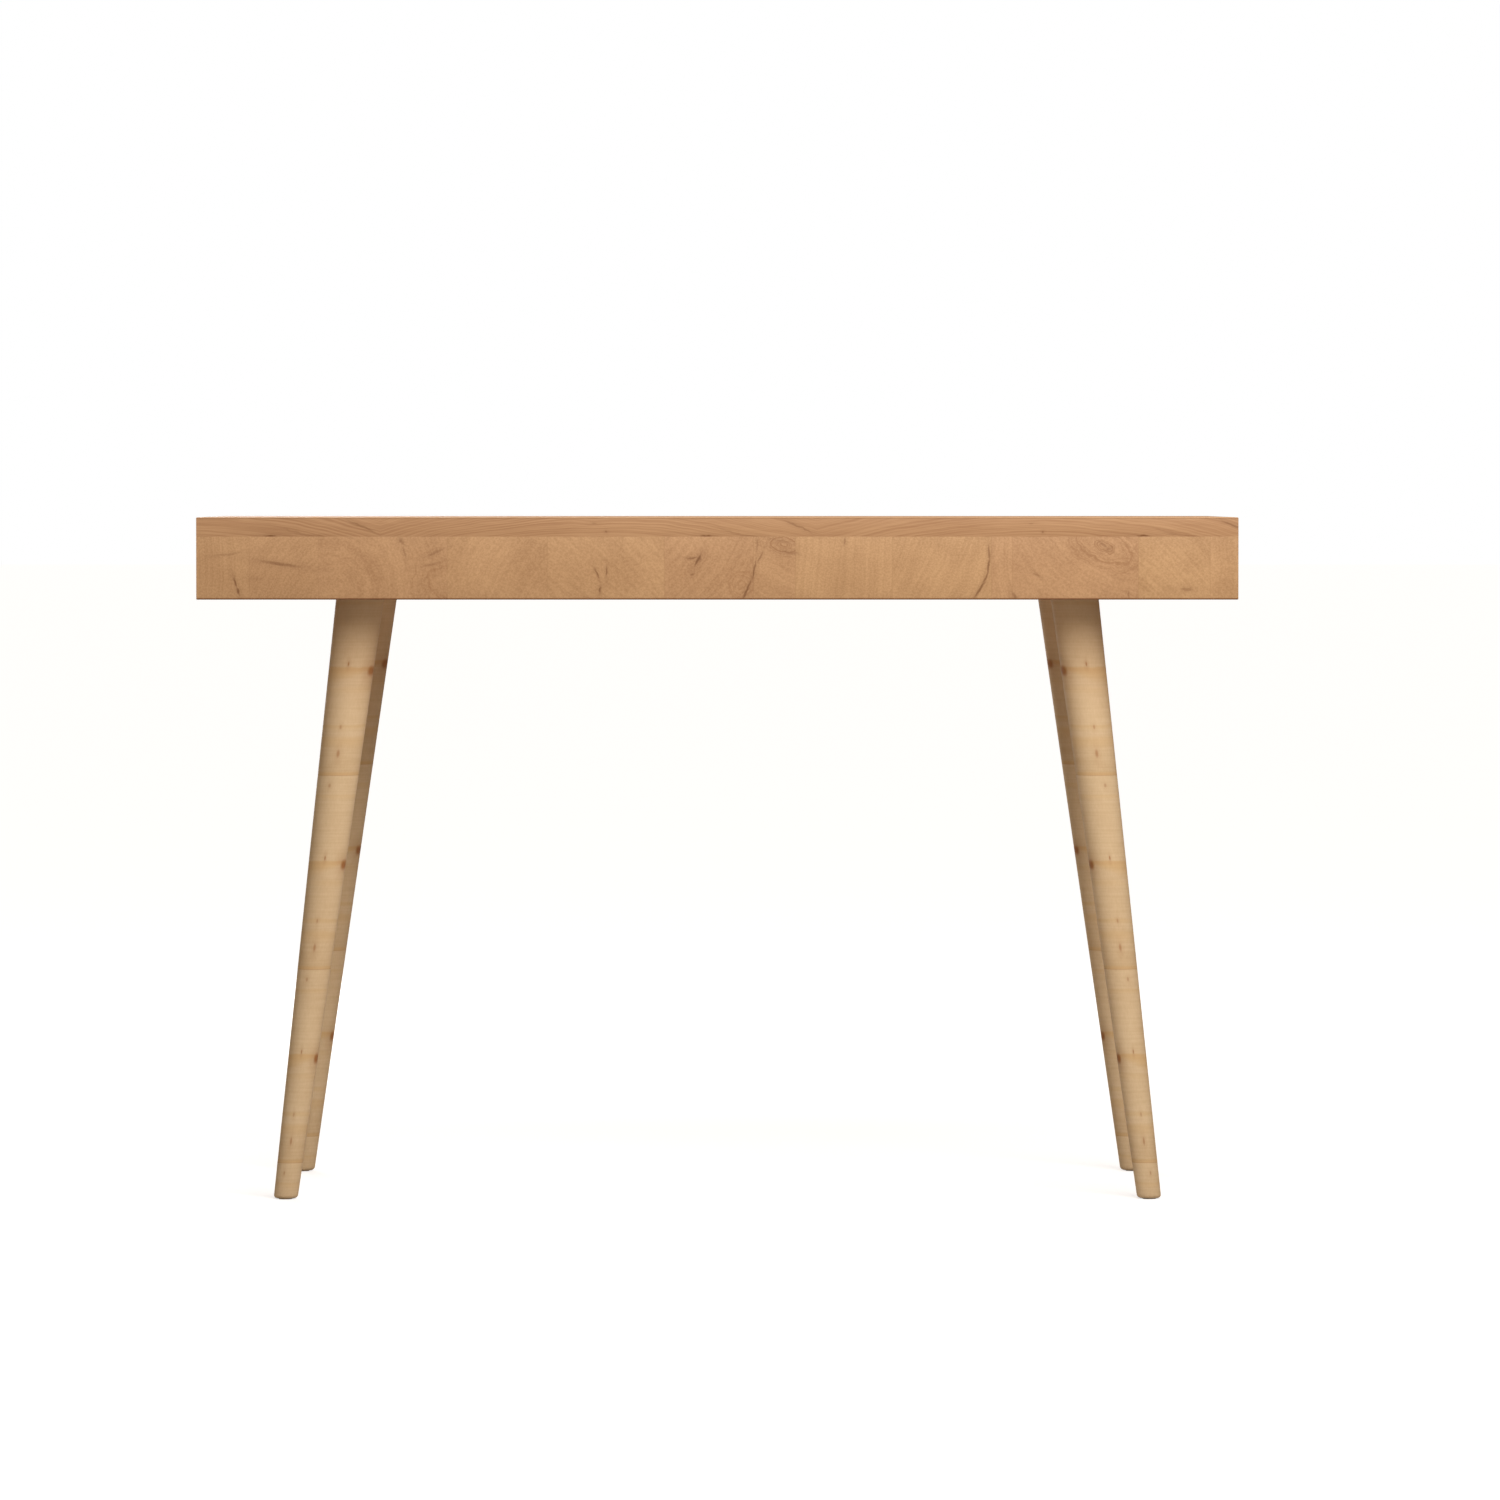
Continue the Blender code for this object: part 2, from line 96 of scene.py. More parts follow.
# Bevels on the pieces underneath, by the kind of piece
BEARER_EASE = 0.0012
BLOCK_EASE = 0.0008
GLIDE_EASE = 0.0005
PLATE_EASE = 0.0004
BEVEL_ANGLE = math.radians(50)

# Studio
SKY_LIGHT = (0.245, 0.210, 0.175)
FLOOR_GLOW = (0.64, 0.88)
FLOOR_GLOW_REACH = (0.7, 4.5)
FLOOR_COLOURS = ((0.54, 0.518, 0.495), (0.56, 0.538, 0.515))
# Each light: place, what it points at, size across, power
LIGHTS = {
    "key": ((0.85, -2.60, 2.60), (0.0, 0.0, 0.55), 2.6, 117.0),
    "overhead": ((0.0, 0.6, 3.60), (0.0, 0.0, 0.80), 3.0, 34.0),
    "back_fill": ((-1.60, 3.80, 1.60), (0.0, 0.0, 0.50), 2.6, 64.0),
}
CAMERA_LENS = 199.8
CAMERA_PLACE = (0.0, -10.045, 0.833)
CAMERA_TILT = math.radians(1.754)
CAMERA_TURN = math.radians(0.224)

# Finish: specular level, and the roughness from the smoothest to the roughest fibres
WOOD_SHEEN = 0.22
LEG_SHEEN = 0.05
WOOD_ROUGHNESS = (0.46, 0.60)
BARE_ROUGHNESS = (0.62, 0.76)
FIBRE_DEPTH = 0.0003

# Wood colours, linear
STRIP_LIGHT = (0.570, 0.328, 0.167)
STRIP_DARK = (0.345, 0.168, 0.078)
FACE_LIGHT = (0.620, 0.365, 0.190)
FACE_DARK = (0.455, 0.240, 0.118)
BLOCK_LIGHT = (0.505, 0.290, 0.143)
BLOCK_DARK = (0.318, 0.164, 0.073)
CURL_DARK = (0.262, 0.118, 0.046)
LEG_LIGHT = (0.650, 0.474, 0.286)
LEG_DARK = (0.520, 0.345, 0.186)
INNER_LIGHT = (0.620, 0.400, 0.225)
INNER_DARK = (0.470, 0.280, 0.140)
# Colour of mineral streaks and seam lines, and also of the painted shade and dark line along the top's
# edges
STREAK_AND_PAINTED_SHADE = (0.155, 0.058, 0.020)
LEG_AMBER = (0.560, 0.330, 0.132)
LEG_KNOT = (0.320, 0.125, 0.040)
# Colour of the painted shade on the legs' upper ends, under the top
LEG_PAINTED_SHADE = (0.470, 0.215, 0.085)


class Graph:
    """Short calls for building a material's nodes."""

    def __init__(self, name):
        self.material = bpy.data.materials.new(name)
        self.material.use_nodes = True
        self.tree = self.material.node_tree
        self.shader = self.tree.nodes["Principled BSDF"]

    def node(self, kind, inputs, **settings):
        made = self.tree.nodes.new(kind)
        for key, value in settings.items():
            setattr(made, key, value)
        for key, value in inputs.items():
            self.put(made.inputs[key], value)
        return made

    def put(self, socket, value):
        if isinstance(value, bpy.types.NodeSocket):
            self.tree.links.new(value, socket)
        else:
            socket.default_value = value

    def math(self, operation, *values, clamp=False):
        inputs = dict(enumerate(values))
        return self.node("ShaderNodeMath", inputs, operation=operation, use_clamp=clamp).outputs[0]

    def vector(self, operation, *values):
        made = self.node("ShaderNodeVectorMath", dict(enumerate(values)), operation=operation)
        return made.outputs["Value" if operation == "LENGTH" else "Vector"]

    def split(self, vector):
        return self.node("ShaderNodeSeparateXYZ", {0: vector}).outputs

    def join(self, x, y, z):
        return self.node("ShaderNodeCombineXYZ", {0: x, 1: y, 2: z}).outputs[0]

    def noise(self, vector, scale=1.0, detail=2.0, roughness=0.5):
        inputs = {"Vector": vector, "Scale": scale, "Detail": detail, "Roughness": roughness}
        return self.node("ShaderNodeTexNoise", inputs).outputs["Fac"]

    def attribute(self, name):
        return self.node("ShaderNodeAttribute", {}, attribute_name=name).outputs["Vector"]

    def place(self):
        return self.node("ShaderNodeTexCoord", {}).outputs["Object"]

    def remap(self, value, low, high, to_low=0.0, to_high=1.0):
        """Smooth step of value from low..high to to_low..to_high."""
        inputs = {0: value, 1: low, 2: high, 3: to_low, 4: to_high}
        made = self.node("ShaderNodeMapRange", inputs, interpolation_type="SMOOTHSTEP")
        return made.outputs[0]

    def blend(self, factor, first, second, mode="MIX"):
        made = self.node("ShaderNodeMix", {}, data_type="RGBA", blend_type=mode)
        for socket, value in ((0, factor), (6, first), (7, second)):
            if isinstance(value, tuple):
                value = (*value, 1.0)
            self.put(made.inputs[socket], value)
        return made.outputs[2]

    def blot(self, vector, centre, size, angle, strength):
        """A dark core inside a soft ellipse of half sizes `size`, with a faint halo round it."""
        inputs = {
            "Vector": vector,
            "Location": (*centre, 0.0),
            "Rotation": (0.0, 0.0, math.radians(angle)),
            "Scale": (*size, 1.0),
        }
        local = self.node("ShaderNodeMapping", inputs, vector_type="TEXTURE").outputs[0]
        distance = self.vector("LENGTH", local)
        core = self.remap(distance, 0.25, 1.10, 0.92 * strength, 0.0)
        halo = self.remap(distance, 0.6, 3.4, 0.26 * strength, 0.0)
        return self.math("ADD", core, halo)

    def strongest(self, values):
        total = values[0]
        for value in values[1:]:
            total = self.math("MAXIMUM", total, value)
        return total

    def bump(self, height, strength, distance):
        inputs = {"Height": height, "Strength": strength, "Distance": distance}
        return self.node("ShaderNodeBump", inputs).outputs[0]


# ---------------------------------------------------------------------------------------------
# Wood
# ---------------------------------------------------------------------------------------------


def wood_figure(graph, log, ring_pitch=0.0035, wander=0.03, flow=3.2, pores=480):
    """Ring lines, broad clouds and fibres of a log whose pith runs along the third axis of `log`.

    The same solid figure gives flames on a long face and arcs with pores on a cut end.
    """
    a, b, along = graph.split(log)
    slow = graph.vector("MULTIPLY", log, (9, 9, flow))
    drift = graph.math("MULTIPLY", graph.math("SUBTRACT", graph.noise(slow, detail=3), 0.5), wander)
    radius = graph.vector("LENGTH", graph.join(a, b, 0.0))
    ring_place = graph.join(
        graph.math("DIVIDE", graph.math("ADD", radius, drift), ring_pitch),
        graph.math("MULTIPLY", along, 2.5),
        graph.math("MULTIPLY", a, 14),
    )
    lines = graph.noise(ring_place, detail=3, roughness=0.6)
    clouds = graph.noise(graph.vector("MULTIPLY", log, (20, 20, 4)), detail=3)
    fibres = graph.noise(graph.vector("MULTIPLY", log, (pores, pores, 22)), detail=2, roughness=0.7)
    return lines, clouds, fibres


# A lighter piece is a little yellower: the turn of hue for each unit of lightness
TONE_TO_HUE = 0.10


def wood_material(graph, light, dark, figure, weights, tone=None, marks=()):
    """A wood from its figure. The weights are for its ring lines, clouds and fibres; each mark is a
    strength and the colour that it fades to."""
    lines, clouds, fibres = figure
    mixed = graph.math("MULTIPLY", graph.remap(lines, 0.34, 0.66), weights[0])
    cloudy = graph.math("MULTIPLY", graph.remap(clouds, 0.32, 0.68), weights[1])
    fibrous = graph.math("MULTIPLY", graph.remap(fibres, 0.34, 0.66), weights[2])
    mixed = graph.math("ADD", graph.math("ADD", mixed, cloudy), fibrous, clamp=True)
    colour = graph.blend(mixed, light, dark)
    if tone is not None:
        yellower = graph.math("MULTIPLY", graph.math("SUBTRACT", tone, 1.0), TONE_TO_HUE)
        hue = graph.math("ADD", yellower, 0.5)
        shade = graph.node("ShaderNodeHueSaturation", {"Hue": hue, "Value": tone, "Color": colour})
        colour = shade.outputs[0]
    for strength, fade_to in marks:
        colour = graph.blend(strength, colour, fade_to)
    graph.put(graph.shader.inputs["Base Color"], colour)
    rough = graph.remap(fibres, 0.2, 0.8, *WOOD_ROUGHNESS)
    graph.put(graph.shader.inputs["Roughness"], rough)
    height = graph.math("ADD", fibres, graph.math("MULTIPLY", lines, 0.6))
    graph.put(graph.shader.inputs["Normal"], graph.bump(height, 0.18, FIBRE_DEPTH))
    graph.shader.inputs["Specular IOR Level"].default_value = WOOD_SHEEN
    return graph.material


# Distance from a glued edge over which its dark line fades
SEAM_FADE = (0.00015, 0.0009)


def block_tone(graph, low, high, seam_strength):
    """Each glued piece's own lightness, and a thin dark line where it meets the next one."""
    share, length, tone = graph.split(graph.attribute("glue"))
    nearer = graph.math("MINIMUM", share, graph.math("SUBTRACT", 1.0, share))
    gap = graph.math("MULTIPLY", nearer, length)
    seam = graph.remap(gap, *SEAM_FADE, seam_strength, 0.0)
    value = graph.math("ADD", graph.math("MULTIPLY", tone, high - low), low)
    return value, seam


# How far marks on the front are ruffled, and how finely; how deep behind the front they fade out
RUFFLE = 0.0034
RUFFLE_SCALE = 170.0
FRONT_FADE = (0.004, 0.012)


def front_coordinates(graph):
    """Across and up in the plane of the front edge, a little ruffled, and 1 on that edge itself."""
    x, y, z = graph.split(graph.place())
    flat = graph.join(x, z, 0.0)
    ruffle = graph.node("ShaderNodeTexNoise", {"Vector": flat, "Scale": RUFFLE_SCALE, "Detail": 2.0})
    shift = graph.vector("SUBTRACT", ruffle.outputs["Color"], (0.5, 0.5, 0.5))
    shift = graph.vector("MULTIPLY", shift, (RUFFLE, RUFFLE, 0.0))
    near, far = FRONT_FADE
    front = graph.remap(y, -DEPTH / 2 + near, -DEPTH / 2 + far, 1.0, 0.0)
    return graph.vector("ADD", flat, shift), front


# Darkened arrises, painted shade on the lower ones: where the darkening starts to fade, where it ends,
# and its strength
LOWER_ARRIS = (0.0010, 0.0026, 0.85)
UPPER_ARRIS = (0.0006, 0.0020, 0.55)
FLAT_FACE = 0.00005


def arris_line_and_painted_shade(graph):
    """Darkened upper and lower edges all round the top, but not its flat faces: painted shade along the
    lower edges, and a plain dark line along the upper ones.
    """
    height = graph.split(graph.place())[2]
    below = graph.math("SUBTRACT", height, APRON_LOW.z)
    above = graph.math("SUBTRACT", PANEL_HIGH.z, height)
    lower = graph.remap(below, *LOWER_ARRIS, 0.0)
    upper = graph.remap(above, *UPPER_ARRIS, 0.0)
    on_edge = graph.math("GREATER_THAN", graph.math("MINIMUM", below, above), FLAT_FACE)
    return graph.math("MULTIPLY", graph.math("MAXIMUM", lower, upper), on_edge)


def dark_marks(graph, marks):
    """Mineral streaks, cracks and knots: (x, z, half length, half width, angle, strength)."""
    flat, front = front_coordinates(graph)
    blots = []
    for x, z, half_length, half_width, angle, strength in marks:
        blots.append(graph.blot(flat, (x, z), (half_length, half_width), angle, strength))
    return graph.math("MULTIPLY", graph.strongest(blots), front)


# Marks on the blocks of the front edge
BLOCK_MARKS = [
    # short streaks in the first two blocks at the left
    (-0.574, 0.7635, 0.024, 0.0022, 6, 0.26),
    (-0.512, 0.7525, 0.030, 0.0026, -8, 0.48),
    (-0.5640, 0.7310, 0.0080, 0.0016, -72, 0.62),
    (-0.5605, 0.7205, 0.0060, 0.0018, -78, 0.66),
    (-0.539, 0.735, 0.010, 0.003, 0, 0.14),
    # hooked knot and the swirl beside it
    (-0.3700, 0.7790, 0.0050, 0.0024, -55, 0.42),
    (-0.3660, 0.7665, 0.0080, 0.0016, -75, 0.34),
    (-0.3310, 0.7655, 0.0150, 0.0022, 24, 0.34),
    (-0.3340, 0.7520, 0.0150, 0.0020, 14, 0.28),
    # three small upright flecks
    (-0.1410, 0.7420, 0.0085, 0.0013, -68, 0.56),
    (-0.1298, 0.7430, 0.0075, 0.0014, 90, 0.56),
    (-0.1372, 0.7225, 0.0060, 0.0015, 84, 0.58),
    (-0.1530, 0.7130, 0.0100, 0.0018, -6, 0.20),
    # star-shaped knot
    (-0.0230, 0.7570, 0.0110, 0.0020, 62, 0.66),
    (-0.0290, 0.7595, 0.0090, 0.0013, 4, 0.50),
    (-0.0205, 0.7595, 0.0050, 0.0022, 90, 0.40),
    (-0.0295, 0.7400, 0.0030, 0.0018, 10, 0.40),
    # wandering crack near the middle
    (0.0465, 0.7740, 0.0120, 0.0015, 84, 0.30),
    (0.0500, 0.7600, 0.0100, 0.0014, 66, 0.46),
    (0.0430, 0.7450, 0.0160, 0.0015, 80, 0.58),
    (0.0345, 0.7220, 0.0170, 0.0018, 66, 0.62),
    # oval swirl right of the crack
    (0.0720, 0.7800, 0.0170, 0.0018, -14, 0.26),
    (0.0860, 0.7655, 0.0160, 0.0030, -10, 0.26),
    (0.1486, 0.7790, 0.0055, 0.0013, 88, 0.42),
    # the longest crack
    (0.3178, 0.7650, 0.0130, 0.0016, 96, 0.50),
    (0.3168, 0.7490, 0.0140, 0.0018, 82, 0.62),
    (0.3140, 0.7370, 0.0110, 0.0018, 68, 0.62),
    (0.3070, 0.7230, 0.0160, 0.0018, 56, 0.62),
    # small marks at the lower right
    (0.3475, 0.7150, 0.0055, 0.0026, -62, 0.42),
    (0.4809, 0.7165, 0.0060, 0.0014, 88, 0.34),
    (0.3730, 0.7400, 0.0060, 0.0016, -24, 0.30),
    (0.5487, 0.7230, 0.0090, 0.0030, 0, 0.38),
    # eye-shaped knot
    (0.4520, 0.7745, 0.0080, 0.0018, -34, 0.36),
    (0.4580, 0.7700, 0.0060, 0.0020, 30, 0.34),
]

# Marks along the thin upper layer: a knot on its lower joint and a slanting flame beside it
STRIP_PERIOD = 0.5107
STRIP_MARKS = []
for step in (-1, 0, 1):
    shift = step * STRIP_PERIOD
    STRIP_MARKS += [
        (-0.0125 + shift, 0.7852, 0.0095, 0.0014, 0, 0.72),
        (0.0330 + shift, 0.7862, 0.0300, 0.0012, -5, 0.26),
        (0.0180 + shift, 0.7895, 0.0260, 0.0014, -16, 0.20),
        (0.0900 + shift, 0.7985, 0.0170, 0.0016, -24, 0.42),
        (0.1010 + shift, 0.7940, 0.0130, 0.0014, -28, 0.36),
        (-0.1299 + shift, 0.7897, 0.0016, 0.0015, 0, 0.44),
        (-0.1440 + shift, 0.8002, 0.0040, 0.0010, 0, 0.30),
    ]


# On the front edge the thin layer's growth lines rise and fall in flat arches, one to each repeat
ARCH_TOP = -0.139
ARCH_CURVE = 0.62
ARCH_LINE_PITCH = 0.0016
ARCH_WAVER = 0.012


def arched_lines(graph):
    """The growth lines of the thin layer, as they show on the front edge."""
    x, y, z = graph.split(graph.place())
    from_top = graph.math("SUBTRACT", x, ARCH_TOP - STRIP_PERIOD / 2)
    repeated = graph.math("FLOORED_MODULO", from_top, STRIP_PERIOD)
    across = graph.math("SUBTRACT", repeated, STRIP_PERIOD / 2)
    arch = graph.math("MULTIPLY", graph.math("MULTIPLY", across, across), ARCH_CURVE)
    wave_place = graph.join(graph.math("MULTIPLY", x, 11.0), y, graph.math("MULTIPLY", z, 30.0))
    waver = graph.math("SUBTRACT", graph.noise(wave_place), 0.5)
    waver = graph.math("MULTIPLY", waver, ARCH_WAVER)
    level = graph.math("ADD", graph.math("ADD", z, arch), waver)
    place = graph.join(
        graph.math("DIVIDE", level, ARCH_LINE_PITCH), graph.math("MULTIPLY", x, 3.0), 0.0
    )
    return graph.noise(place, detail=3, roughness=0.62)


def make_strip_material():
    graph = Graph("maple_strip")
    log = graph.attribute("log")
    lines, clouds, fibres = wood_figure(graph, log, ring_pitch=0.0012, wander=0.030, flow=6.5)
    front = front_coordinates(graph)[1]
    arched = graph.math("MULTIPLY", graph.math("SUBTRACT", arched_lines(graph), lines), front)
    figure = (graph.math("ADD", lines, arched), clouds, fibres)
    tone, seam = block_tone(graph, 0.97, 1.03, 0.22)
    # The darkened arrises are painted shade along the lower edges and a dark line along the upper ones
    marks = [
        (seam, STREAK_AND_PAINTED_SHADE), (arris_line_and_painted_shade(graph), STREAK_AND_PAINTED_SHADE), (dark_marks(graph, STRIP_MARKS), STREAK_AND_PAINTED_SHADE)
    ]
    return wood_material(graph, STRIP_LIGHT, STRIP_DARK, figure, (0.50, 0.24, 0.14), tone, marks)


def make_face_material():
    graph = Graph("maple_face")
    figure = wood_figure(graph, graph.attribute("log"), ring_pitch=0.0024, wander=0.034, flow=2.2)
    tone, seam = block_tone(graph, 0.95, 1.05, 0.20)
    marks = [(seam, STREAK_AND_PAINTED_SHADE), (face_flecks(graph), STREAK_AND_PAINTED_SHADE)]
    return wood_material(graph, FACE_LIGHT, FACE_DARK, figure, (0.34, 0.28, 0.22), tone, marks)


def face_flecks(graph):
    """Short mineral streaks strewn along the boards."""
    log = graph.attribute("log")
    sparse = graph.noise(graph.vector("MULTIPLY", log, (90, 90, 9)), detail=1)
    thin = graph.noise(graph.vector("MULTIPLY", log, (420, 420, 14)), detail=2)
    strength = graph.remap(thin, 0.5, 0.75, 0.0, 0.5)
    return graph.math("MULTIPLY", graph.remap(sparse, 0.66, 0.80), strength)


# Curled grain on the front blocks:
# (x, z, half length, half width, angle, block's ends, share of its reach that stays plain, strength)
WHORLS = [
    (-0.4520, 0.7255, 0.090, 0.090, 0, (-0.4668, -0.3159), 0.22, 0.40),
    (-0.3170, 0.7310, 0.060, 0.060, 0, (-0.4668, -0.3159), 0.20, 0.38),
    (0.0280, 0.7290, 0.036, 0.030, 20, (-0.0620, 0.0421), 0.0, 0.30),
    (0.0780, 0.7750, 0.030, 0.017, -12, (0.0421, 0.0913), 0.0, 0.60),
    (0.4530, 0.7725, 0.066, 0.034, -24, (0.3452, 0.4926), 0.0, 0.58),
]
WHORL_LINES = 5.2


def curled_grain(graph):
    """Rings that close round a whorl and fade out away from it, each kept to its own block."""
    flat, front = front_coordinates(graph)
    x = graph.split(flat)[0]
    curls = []
    for centre_x, centre_z, half_length, half_width, angle, (low, high), plain, strength in WHORLS:
        inputs = {
            "Vector": flat,
            "Location": (centre_x, centre_z, 0.0),
            "Rotation": (0.0, 0.0, math.radians(angle)),
            "Scale": (half_length, half_width, 1.0),
        }
        local = graph.node("ShaderNodeMapping", inputs, vector_type="TEXTURE").outputs[0]
        distance = graph.vector("LENGTH", local)
        waver = graph.math("MULTIPLY", graph.noise(graph.vector("MULTIPLY", flat, (60, 60, 1))), 0.35)
        turn = graph.math("MULTIPLY", graph.math("ADD", distance, waver), WHORL_LINES)
        rings = graph.noise(graph.join(turn, centre_x * 40, 0.0), scale=1.6, detail=2, roughness=0.6)
        fade = graph.remap(distance, 0.45, 1.0, strength, 0.0)
        fade = graph.math("MULTIPLY", fade, graph.remap(distance, plain, plain + 0.14))
        inside = graph.math(
            "MULTIPLY", graph.math("GREATER_THAN", x, low), graph.math("LESS_THAN", x, high)
        )
        shown = graph.math("MULTIPLY", fade, inside)
        curls.append(graph.math("MULTIPLY", graph.remap(rings, 0.46, 0.60), shown))
    return graph.math("MULTIPLY", graph.strongest(curls), front)


def make_block_material():
    graph = Graph("maple_block")
    figure = wood_figure(graph, graph.attribute("log"), ring_pitch=0.0036, wander=0.020, pores=430)
    tone, seam = block_tone(graph, 0.96, 1.05, 0.10)
    # The darkened arrises are painted shade along the lower edges and a dark line along the upper ones
    marks = [
        (curled_grain(graph), CURL_DARK), (seam, STREAK_AND_PAINTED_SHADE), (arris_line_and_painted_shade(graph), STREAK_AND_PAINTED_SHADE),
        (dark_marks(graph, BLOCK_MARKS), STREAK_AND_PAINTED_SHADE),
    ]
    return wood_material(graph, BLOCK_LIGHT, BLOCK_DARK, figure, (0.19, 0.26, 0.36), tone, marks)


# The leg's figure repeats up the leg. Heights are above a glued joint, in metres
LEG_PERIOD = 0.2312
LEG_JOINT = 0.5060
LEG_WOBBLE = 0.006
# Above a joint: a darker foot, a band and the joint's own line. Heights of the fade, and strength
LEG_JOINT_FOOT = (0.0, 0.055, 0.40)
LEG_JOINT_BAND = (0.0026, 0.0056, 0.42)
LEG_JOINT_LINE = (0.0002, 0.0010, 0.35)
# Painted shade under the top: the leg's colour darkens towards its top between these heights, up to
# this strength
LEG_PAINTED_SHADE_SPAN = (0.500, 0.735)
LEG_PAINTED_SHADE_STRENGTH = 0.22
# (across as a share of the radius, height above the joint, half sizes, strength)
LEG_KNOTS = [
    (0.09, 0.0262, (0.100, 0.0062), 0.52),
    (0.12, 0.0580, (0.070, 0.0036), 0.42),
    (0.11, 0.1330, (0.050, 0.0038), 0.66),
    (-0.90, 0.1245, (0.190, 0.0078), 0.80),
    (0.32, 0.2195, (0.085, 0.0032), 0.42),
]
# (height of its upper edge, softness above, depth below, extra depth across, strength)
LEG_BANDS = [
    (0.1285, 0.0022, 0.0150, 0.0120, 0.56),
    (0.0590, 0.0030, 0.0060, 0.0, 0.24),
    (0.0430, 0.0060, 0.0150, 0.0, 0.28),
    (0.2070, 0.0030, 0.0060, 0.0, 0.20),
    (0.1040, 0.0040, 0.0080, 0.0, 0.14),
]


def leg_place(graph, mirror):
    """A point's place on its leg: how far across as a share of the radius, its height above the
    floor, and its distance up along the wood."""
    x, _, up = graph.split(graph.attribute("upright"))
    radius = graph.math("ADD", graph.math("MULTIPLY", up, LEG_TAPER), LEG_FOOT_RADIUS)
    across = graph.math("MULTIPLY", graph.math("DIVIDE", x, radius), float(mirror))
    level = graph.split(graph.place())[2]
    raised = graph.math("DIVIDE", level, math.cos(LEG_SPLAY))
    return across, level, raised


def leg_knots(graph, across, height, wobble):
    """Small knots, at their heights above each joint."""
    waved = graph.math("ADD", height, graph.math("MULTIPLY", wobble, 0.3))
    place = graph.join(across, waved, 0.0)
    knots = [
        graph.blot(place, (share, above), size, 0, strength)
        for share, above, size, strength in LEG_KNOTS
    ]
    return graph.strongest(knots)


def leg_bands(graph, across, height, wobble):
    """Bands with a crisp upper edge that fade out below it."""
    bands = []
    for edge, softness, depth, extra, strength in LEG_BANDS:
        below = graph.math("SUBTRACT", edge, graph.math("ADD", height, wobble))
        reach = graph.math("ADD", graph.math("MULTIPLY", across, extra), depth)
        fade = graph.remap(graph.math("DIVIDE", below, reach), 0.1, 1.0, strength, 0.0)
        bands.append(graph.math("MULTIPLY", fade, graph.remap(below, -softness, 0.0)))
    return graph.strongest(bands)


def make_leg_material(mirror):
    """Pale maple, banded level across the leg; mirror is 1 for the right legs and -1 for the left."""
    graph = Graph("maple_leg_right" if mirror > 0 else "maple_leg_left")
    upright = graph.attribute("upright")
    across, level, raised = leg_place(graph, mirror)
    height = graph.math("FLOORED_MODULO", graph.math("SUBTRACT", raised, LEG_JOINT), LEG_PERIOD)
    wave = graph.noise(graph.vector("MULTIPLY", upright, (30, 30, 8)), detail=2)
    wobble = graph.math("MULTIPLY", graph.math("SUBTRACT", wave, 0.5), LEG_WOBBLE)

    # Fine level lines, short upright flecks, broad clouds, and a darker foot to each glued length
    row_place = graph.join(
        graph.math("MULTIPLY", across, 0.4), graph.math("MULTIPLY", raised, 330), 0.0
    )
    rows = graph.noise(row_place, detail=3, roughness=0.6)
    fleck_place = graph.vector("MULTIPLY", upright, (800, 800, 150))
    flecks = graph.noise(fleck_place, detail=2, roughness=0.7)
    clouds = graph.noise(graph.vector("MULTIPLY", upright, (26, 26, 14)), detail=3)
    mixed = graph.math("MULTIPLY", graph.remap(rows, 0.32, 0.68), 0.26)
    mixed = graph.math("ADD", mixed, graph.math("MULTIPLY", graph.remap(flecks, 0.34, 0.66), 0.18))
    mixed = graph.math("ADD", mixed, graph.math("MULTIPLY", graph.remap(clouds, 0.3, 0.7), 0.26))
    mixed = graph.math("ADD", mixed, graph.remap(height, *LEG_JOINT_FOOT, 0.0), clamp=True)

    # Each layer: its strength and the colour that it fades to
    layers = [
        (leg_bands(graph, across, height, wobble), LEG_AMBER),
        (graph.remap(height, *LEG_JOINT_BAND, 0.0), LEG_AMBER),
        (graph.remap(height, *LEG_JOINT_LINE, 0.0), LEG_KNOT),
        (leg_knots(graph, across, height, wobble), LEG_KNOT),
        # painted shade where the top shadows the legs' upper ends
        (graph.remap(level, *LEG_PAINTED_SHADE_SPAN, 0.0, LEG_PAINTED_SHADE_STRENGTH), LEG_PAINTED_SHADE),
    ]
    colour = graph.blend(mixed, LEG_LIGHT, LEG_DARK)
    for strength, fade_to in layers:
        colour = graph.blend(strength, colour, fade_to)
    graph.put(graph.shader.inputs["Base Color"], colour)
    graph.put(graph.shader.inputs["Roughness"], graph.remap(flecks, 0.2, 0.8, *WOOD_ROUGHNESS))
    graph.put(graph.shader.inputs["Normal"], graph.bump(flecks, 0.14, FIBRE_DEPTH))
    graph.shader.inputs["Specular IOR Level"].default_value = LEG_SHEEN
    return graph.material


# The pith of the pieces underneath: how far beside them it runs, and its height
INNER_PITH = (0.045, 0.64)


def make_inner_material(name, long_axis):
    """Sanded, unfinished maple for the pieces under the top, with its grain along one axis."""
    graph = Graph(name)
    x, y, z = graph.split(graph.place())
    cross, along = (x, y) if long_axis == "y" else (y, x)
    pith_x, pith_z = INNER_PITH
    across, up = graph.math("ADD", cross, pith_x), graph.math("SUBTRACT", z, pith_z)
    figure = wood_figure(graph, graph.join(across, up, along))
    material = wood_material(graph, INNER_LIGHT, INNER_DARK, figure, (0.34, 0.30, 0.20))
    fibres = figure[2]
    graph.put(graph.shader.inputs["Roughness"], graph.remap(fibres, 0.2, 0.8, *BARE_ROUGHNESS))
    return material


ZINC_COLOURS = ((0.60, 0.61, 0.62), (0.50, 0.49, 0.45))
NYLON_COLOURS = ((0.78, 0.74, 0.65), (0.68, 0.63, 0.54))
SCRATCH_DEPTH = 0.0001


